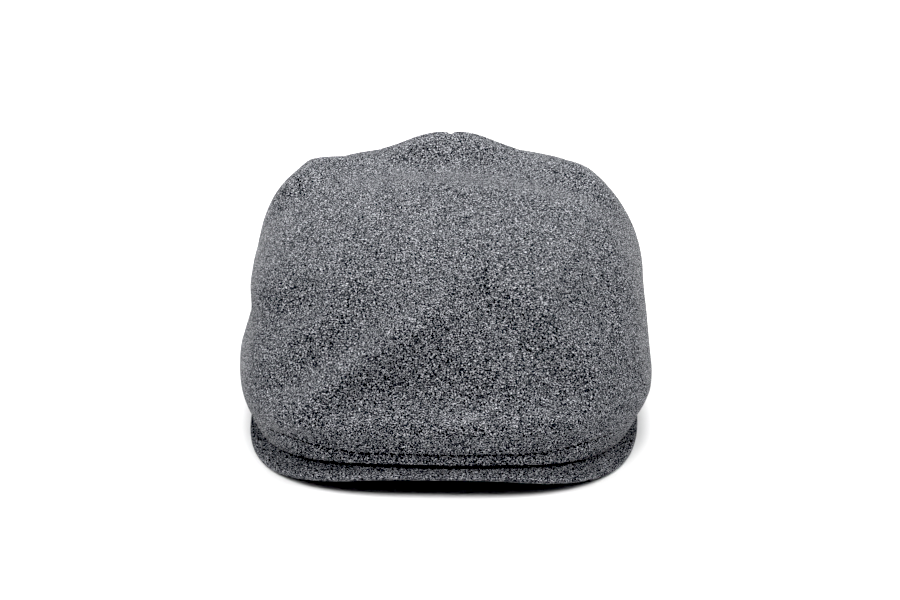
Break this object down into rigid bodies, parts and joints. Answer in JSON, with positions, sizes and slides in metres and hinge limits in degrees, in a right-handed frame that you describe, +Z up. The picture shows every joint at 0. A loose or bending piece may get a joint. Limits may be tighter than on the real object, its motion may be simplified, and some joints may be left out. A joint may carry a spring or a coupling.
{
  "type": "flat cap",
  "caption": "Soft flat cap of grey melange wool, its low crown of sewn panels pulled forward over a short stiff peak, open below for the head.",
  "frame": {"origin": "middle of the cap's box, on the surface that the cap rests on", "axes": "+Z up, -Y towards the peak at the front, +X to the viewer's right in front of the cap"},
  "size_m": [0.1966, 0.2642, 0.1102],
  "materials": {
    "melange_wool": "brushed wool cloth, matt",
    "sewing_thread": "spun thread, matt"
  },
  "bodies": {
    "root": {"top_panel": "melange_wool", "side_panel_left": "melange_wool", "side_panel_right": "melange_wool", "peak": "melange_wool"}
  },
  "joints": []
}
